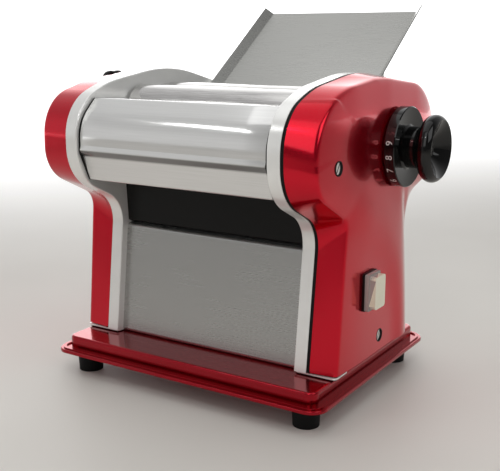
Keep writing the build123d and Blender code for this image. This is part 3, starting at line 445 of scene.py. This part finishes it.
CUP_PROFILE = [
    (144.9, RECESS_RADIUS - 0.3), (141.3, RECESS_RADIUS - 0.3), (140.9, RECESS_RADIUS - 0.7),
    (140.9, SCREW_BORE), (138.5, SCREW_BORE), (138.5, RECESS_RADIUS + 0.6), (144.0, RECESS_RADIUS + 0.7),
    (145.2, RECESS_RADIUS + 0.6), (145.3, RECESS_RADIUS + 0.2), (144.9, RECESS_RADIUS - 0.3),
]
RECESS_SEGMENTS = 48


def panel_height(place):
    """X of the outer panel away from its edges: a swell over the switch and a valley down the back."""
    reach = (place - SWELL_CENTRE).length
    swell = smooth(reach, SWELL_FROM, SWELL_CREST) * (1 - smooth(reach, SWELL_CREST, SWELL_TO))
    behind = place.x - (VALLEY_Y - VALLEY_BEND * (place.y - VALLEY_Z) ** 2)
    valley = math.exp(-(behind / VALLEY_WIDTH) ** 2) * (1 - smooth(place.y, VALLEY_FADE_FROM, VALLEY_FADE_TO))
    return PANEL_X + SWELL_HEIGHT * swell - VALLEY_DEPTH * valley


def casing_mesh(name, side):
    """Open sheet of one shell. Side is 1 for the right one and -1 for the left one."""
    seam = outline(SEAM, LINE_STEPS, ARC_STEPS)
    ridge = outline(RIDGE[side], LINE_STEPS, ARC_STEPS)
    count = len(seam)
    steps = (count, LINE_STEPS, ARC_STEPS)
    spine_y = along([place[0] for place in SPINE], *steps)
    spine_z = along([place[1] for place in SPINE], *steps)
    ridge_x, soft, width = along(RIDGE_X[side], *steps), along(RIDGE_SOFT, *steps), along(FALL_WIDTH, *steps)
    rows = []
    for index in range(count):
        foot, crest = seam[index], ridge[index]
        spine = Vector((spine_y[index], spine_z[index]))
        rise = Vector((ridge_x[index] - SEAM_X[side], crest.x - foot.x, crest.y - foot.y))
        row = []
        for part in (*FLANK_PARTS, 1.0 - soft[index] / rise.length):
            row.append((SEAM_X[side] + rise.x * part, foot.x + rise.y * part, foot.y + rise.z * part))
        row.append((ridge_x[index], crest.x, crest.y))
        span = (spine - crest).length
        for part in (soft[index] / span, *PANEL_PARTS):
            place = crest.lerp(spine, part)
            run = min(part * span / min(width[index], span * 0.95), 1.0)
            height = panel_height(place)
            row.append((ridge_x[index] + (height - ridge_x[index]) * (1 - (1 - run) ** 2), place.x, place.y))
        rows.append(row)
    points = [(side * x, y, z) for row in rows for x, y, z in row]
    across = len(rows[0])
    faces = []
    for index in range(count - 1):
        for step in range(across - 1):
            here = index * across + step
            faces.append((here, here + 1, here + across + 1, here + across))
    return mesh_from(name, points, faces)


def baked(name, mesh, *modifiers, cutters=()):
    """Mesh after its modifiers. Each modifier is (type, {setting: value}); cutters are meshes to subtract."""
    scratch = bpy.data.objects.new(name, mesh)
    bpy.context.scene.collection.objects.link(scratch)
    for kind, settings in modifiers:
        modifier = scratch.modifiers.new(kind.lower(), kind)
        for key, value in settings.items():
            setattr(modifier, key, value)
    tools = []
    for index, shape in enumerate(cutters):
        tool = bpy.data.objects.new(f"{name}_cut_{index}", shape)
        bpy.context.scene.collection.objects.link(tool)
        tools.append(tool)
        modifier = scratch.modifiers.new("cut", "BOOLEAN")
        modifier.object = tool
        modifier.solver = "EXACT"
    bpy.context.view_layer.update()
    result = bpy.data.meshes.new_from_object(scratch.evaluated_get(bpy.context.evaluated_depsgraph_get()))
    result.name = name
    for extra in [scratch] + tools:
        bpy.data.objects.remove(extra)
    smooth_by_angle(result, CREASE_ANGLE)
    return result


SUBDIVIDED = ("SUBSURF", {"levels": 2, "render_levels": 2})
for side, which in ((1, "right"), (-1, "left")):
    hole = [
        (side * RECESS_FROM, 0), (side * RECESS_FROM, RECESS_RADIUS),
        (side * RECESS_TO, RECESS_RADIUS), (side * RECESS_TO, 0),
    ]
    holes = [lathe("hole", hole, place, RECESS_SEGMENTS) for place in CASING_SCREWS[side]]
    casing = which + "_casing"
    shell = baked(
        casing + "_shell", casing_mesh(casing, side), SUBDIVIDED,
        ("SOLIDIFY", {"thickness": CASING_WALL * MM, "offset": -1.0}), cutters=holes,
    )
    made(casing + "_shell", shell, MATERIALS["red_casing"], "machine", [casing])
    for number, place in enumerate(CASING_SCREWS[side]):
        # the recess cups are black: painted shade standing in for the shade inside the screw recesses
        cup = lathe("cup", [(side * x, radius) for x, radius in CUP_PROFILE], place, RECESS_SEGMENTS)
        made(f"{which}_screw_cup_{number}", cup, MATERIALS["black_plastic"], "machine")

# the round pad on the right casing that the dial stands on
DIAL = (38.0, 230.0)
PAD_PROFILE = [
    (136.0, 8.0), (146.4, 8.0), (146.4, 30.2), (146.1, 30.8), (145.5, 31.0), (143.0, 31.0), (136.0, 31.0),
    (136.0, 8.0),
]
made("dial_pad", lathe("dial_pad", PAD_PROFILE, DIAL, 128), MATERIALS["red_casing"], "machine")


# ---------------------------------------------------------------- front cover
COVER_PROFILE = [
    (-87.5, 269.6, 0), (-98.5, 272.8, 4), (-120.6, 252.0, 36), (-120.6, 231.0, 2.5), (-122.0, 227.0, 1.6),
    (-118.0, 222.0, 2.0), (-109.3, 198.4, 1.6), (-105.5, 200.0, 0),
]
COVER_HALF = 99.5
COVER_GAUGE = 1.2
COVER_EDGE = 0.25
# heights and tone of the painted shade band under the cover's pressed line
SHADE_BAND_FROM, SHADE_BAND_TO = 0.2195, 0.2275
SHADE_BAND_TONE = 0.3


def swept(name, path, x_from, x_to, x_steps):
    """Sheet surface: a (y, z) path carried along X."""
    points = [
        (x_from + (x_to - x_from) * step / x_steps, place.x, place.y)
        for step in range(x_steps + 1) for place in path
    ]
    across = len(path)
    faces = []
    for step in range(x_steps):
        for index in range(across - 1):
            here = step * across + index
            faces.append((here, here + across, here + across + 1, here + 1))
    return mesh_from(name, points, faces)


cover = swept("front_cover_sheet", outline(COVER_PROFILE, 10, 14), -COVER_HALF, COVER_HALF, 8)
cover = baked(
    "front_cover_sheet", cover, ("SOLIDIFY", {"thickness": COVER_GAUGE * MM, "offset": 1.0}),
    ("BEVEL", {"width": COVER_EDGE * MM, "segments": 2, "limit_method": "ANGLE"}),
)
# the cover steel carries a painted shade band below the pressed line, in place of the dark reflection there
cover_steel = dulled_band(polished("pressed_stainless"), SHADE_BAND_FROM, SHADE_BAND_TO, SHADE_BAND_TONE)
made("front_cover_sheet", cover, cover_steel, "machine", ["front_cover"])


# ---------------------------------------------------------------- dial spring
SPRING_SEAT = 162.3
SPRING_END = 174.7
SPRING_RADIUS = 6.6
SPRING_WIRE = 0.5
SPRING_TURNS = 5


def coil(name, centre, x_from, x_to, radius, wire, turns, per_turn=32, around=10):
    """Round wire wound about the line through centre (y, z) that runs along X."""
    rings = []
    last = turns * per_turn
    swings = [2 * math.pi * step / around for step in range(around)]
    for ring in range(last + 1):
        x = x_from + (x_to - x_from) * ring / last
        angle = 2 * math.pi * ring / per_turn
        rings.append([
            about(x + wire * math.sin(swing), centre, radius + wire * math.cos(swing), angle)
            for swing in swings
        ])
    return tube(name, rings)


spring = made(
    "dial_spring_wire",
    coil("dial_spring_wire", DIAL, SPRING_SEAT, SPRING_END, SPRING_RADIUS, SPRING_WIRE, SPRING_TURNS),
    MATERIALS["zinc_steel"], "dial_spindle", ["dial_spring"],
)
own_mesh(spring)


# ---------------------------------------------------------------- dial figures
def figure(text, size):
    """Flat outline of a figure, as (width, height) points and faces, centred on its own middle."""
    curve = bpy.data.curves.new("figure", "FONT")
    curve.body = text
    curve.size = size
    curve.align_x = "CENTER"
    curve.align_y = "CENTER"
    curve.resolution_u = 6
    scratch = bpy.data.objects.new("figure", curve)
    bpy.context.scene.collection.objects.link(scratch)
    bpy.context.view_layer.update()
    mesh = bpy.data.meshes.new_from_object(scratch.evaluated_get(bpy.context.evaluated_depsgraph_get()))
    bpy.data.objects.remove(scratch)
    return [vertex.co.copy() for vertex in mesh.vertices], [tuple(face.vertices) for face in mesh.polygons]


RIM_RADIUS = 37.05
FIGURE_X = 152.2
FIGURE_SIZE = 8.8
FIRST_ANGLE = math.radians(169.5)
FIGURE_STEP = math.radians(20.0)
points, faces = [], []
for number in range(9, 0, -1):
    flat, flat_faces = figure(str(number), FIGURE_SIZE)
    middle = FIRST_ANGLE + (9 - number) * FIGURE_STEP
    base = len(points)
    points += [
        about(FIGURE_X - place.y, DIAL, RIM_RADIUS, middle - place.x / RIM_RADIUS) for place in flat
    ]
    faces += [tuple(base + corner for corner in face) for face in flat_faces]
figure_paint = moulded("white_print", (0.70, 0.70, 0.69), (0.82, 0.82, 0.80), 0.3, 0.45, 900.0, 0.05)
made("dial_figures", mesh_from("dial_figures", points, faces), figure_paint, "dial")


# ---------------------------------------------------------------- selector knob
SELECTOR = (-14.0, 279.0)
LOBES = 6
LOBE_ROOT = 12.6
LOBE_HEIGHT = 4.4
LOBE_ROUND = 0.8
GRIP_SEGMENTS = 72
GRIP_LAYERS = [
    (-146.9, 0.90), (-147.3, 0.97), (-149.0, 1.0), (-154.0, 0.97), (-157.5, 0.86), (-159.6, 0.68),
    (-160.4, 0.45), (-160.6, 0.2),
]
turns = [2 * math.pi * turn / GRIP_SEGMENTS for turn in range(GRIP_SEGMENTS)]
lobed = [LOBE_ROOT + LOBE_HEIGHT * abs(math.cos(LOBES * angle / 2)) ** LOBE_ROUND for angle in turns]
grip = tube("selector_grip", [
    [about(x, SELECTOR, scale * radius, angle) for radius, angle in zip(lobed, turns)]
    for x, scale in GRIP_LAYERS
])
grip = baked("selector_grip", grip, ("SUBSURF", {"levels": 1, "render_levels": 1}))
made("selector_grip", grip, MATERIALS["black_plastic"], "selector", ["selector_knob"])


# ---------------------------------------------------------------- room, light, camera
FLOOR_HALF = 12.0
FLOOR_FAR_WAY = (-0.75, 0.66, 0.0)
FLOOR_LIFT_FROM, FLOOR_LIFT_TO = 0.35, 2.2
FLOOR_LIFT = 1.5
# (place from 0 to 1 across the direction, tone): front to back, left to right and bottom to top
FRONT_TONES = [(0.0, 0.34), (1.0, 1.45), (0.30, 0.34), (0.62, 0.45), (0.88, 1.35)]
SIDE_TONES = [(0.0, 1.8), (1.0, 0.3), (0.20, 1.8), (0.38, 1.1), (0.58, 0.45)]
HEIGHT_TONES = [(0.0, 0.9), (1.0, 0.9), (0.5, 1.0), (0.62, 1.0), (0.78, 0.72)]
# name, place, aim, size, power
LIGHTS = [
    ("key", (0.405, -0.99, 0.98), (0.13, -0.115, 0.25), (0.6, 1.15), 2.8),
    ("streak", (-0.578, -0.76, 1.03), (0.07, -0.12, 0.255), (0.34, 0.09), 0.45),
    ("spot", (0.391, -0.833, 1.04), (0.13, -0.115, 0.25), (0.12, 0.05), 0.5),
    ("top", (0.0, -0.1, 1.7), (0, 0, 0.2), (1.6, 1.2), 4.2),
    ("right", (1.35, -0.25, 1.15), (0.1, 0, 0.15), (1.0, 1.0), 5.0),
]
CAMERA_PLACE = (0.462, -0.716, 0.330)
CAMERA_AZIMUTH = 32.41
CAMERA_PITCH = 12.89
CAMERA_LENS = 63.1


def stage_floor():
    """Plain pale floor whose tone lifts to white far from the machine."""
    mesh = bpy.data.meshes.new("floor")
    work = bmesh.new()
    bmesh.ops.create_grid(work, x_segments=1, y_segments=1, size=FLOOR_HALF)
    work.to_mesh(mesh)
    work.free()
    floor = bpy.data.objects.new("floor", mesh)
    bpy.context.scene.collection.objects.link(floor)
    n = Nodes("pale_floor")
    n.colours(n.noise(3.0, 3.0, 0.5), (0.74, 0.71, 0.66), (0.78, 0.75, 0.70))
    n.set(Roughness=0.55)
    far = n.new("ShaderNodeVectorMath", operation="DOT_PRODUCT")
    far.inputs[1].default_value = FLOOR_FAR_WAY
    n.link(n.coords.outputs["Object"], far.inputs[0])
    lift = n.new("ShaderNodeEmission")
    lift.inputs["Strength"].default_value = FLOOR_LIFT
    mix = n.new("ShaderNodeMixShader")
    reach = n.new("ShaderNodeMapRange", interpolation_type="SMOOTHSTEP")
    reach.inputs["From Min"].default_value = FLOOR_LIFT_FROM
    reach.inputs["From Max"].default_value = FLOOR_LIFT_TO
    n.link(far.outputs["Value"], reach.inputs["Value"])
    n.link(reach.outputs["Result"], mix.inputs["Fac"])
    n.link(n.shader.outputs["BSDF"], mix.inputs[1])
    n.link(lift.outputs["Emission"], mix.inputs[2])
    n.link(mix.outputs["Shader"], n.tree.nodes["Material Output"].inputs["Surface"])
    mesh.materials.append(n.material)


def area_light(name, place, aim, size, power):
    """White rectangular light that points at its aim."""
    data = bpy.data.lights.new(name, "AREA")
    data.shape = "RECTANGLE"
    data.size, data.size_y = size
    data.energy = power
    light = bpy.data.objects.new(name, data)
    light.location = place
    light.rotation_euler = (Vector(aim) - Vector(place)).to_track_quat("-Z", "Y").to_euler()
    bpy.context.scene.collection.objects.link(light)


def camera(place, azimuth, pitch, lens):
    """Camera that looks along +Y, turned left by its azimuth and tipped down by its pitch, in degrees."""
    data = bpy.data.cameras.new("camera")
    data.lens = lens
    data.sensor_width = 36.0
    data.clip_start = 0.01
    cam = bpy.data.objects.new("camera", data)
    cam.location = place
    cam.rotation_euler = Euler((math.radians(90 - pitch), 0, math.radians(azimuth)), "XYZ")
    bpy.context.scene.collection.objects.link(cam)
    bpy.context.scene.camera = cam


def world():
    """Soft studio surround: bright behind and on the left, dimmer in front of the machine."""
    made_world = bpy.data.worlds.new("studio")
    made_world.use_nodes = True
    tree = made_world.node_tree
    back = tree.nodes["Background"]
    coords = tree.nodes.new("ShaderNodeTexCoord")
    split = tree.nodes.new("ShaderNodeSeparateXYZ")
    tree.links.new(coords.outputs["Generated"], split.inputs[0])

    def ramp(source, stops):
        """Tone along one axis of the surround."""
        shift = tree.nodes.new("ShaderNodeMapRange")
        shift.inputs["From Min"].default_value = -1.0
        tree.links.new(split.outputs[source], shift.inputs["Value"])
        node = tree.nodes.new("ShaderNodeValToRGB")
        node.color_ramp.interpolation = "EASE"
        for index, (place, tone) in enumerate(stops):
            stop = node.color_ramp.elements[index] if index < 2 else node.color_ramp.elements.new(place)
            stop.position = place
            stop.color = (tone, tone, tone, 1)
        tree.links.new(shift.outputs["Result"], node.inputs["Fac"])
        return node.outputs["Color"]

    def product(first, second):
        """Two tones multiplied."""
        mix = tree.nodes.new("ShaderNodeMixRGB")
        mix.blend_type = "MULTIPLY"
        mix.inputs["Fac"].default_value = 1.0
        tree.links.new(first, mix.inputs[1])
        tree.links.new(second, mix.inputs[2])
        return mix.outputs["Color"]

    level = product(ramp("Y", FRONT_TONES), ramp("X", SIDE_TONES))
    tree.links.new(product(level, ramp("Z", HEIGHT_TONES)), back.inputs["Color"])
    back.inputs["Strength"].default_value = 1.0
    bpy.context.scene.world = made_world


stage_floor()
world()
for light in LIGHTS:
    area_light(*light)
camera(CAMERA_PLACE, CAMERA_AZIMUTH, CAMERA_PITCH, CAMERA_LENS)
bpy.context.scene.view_settings.view_transform = "Standard"
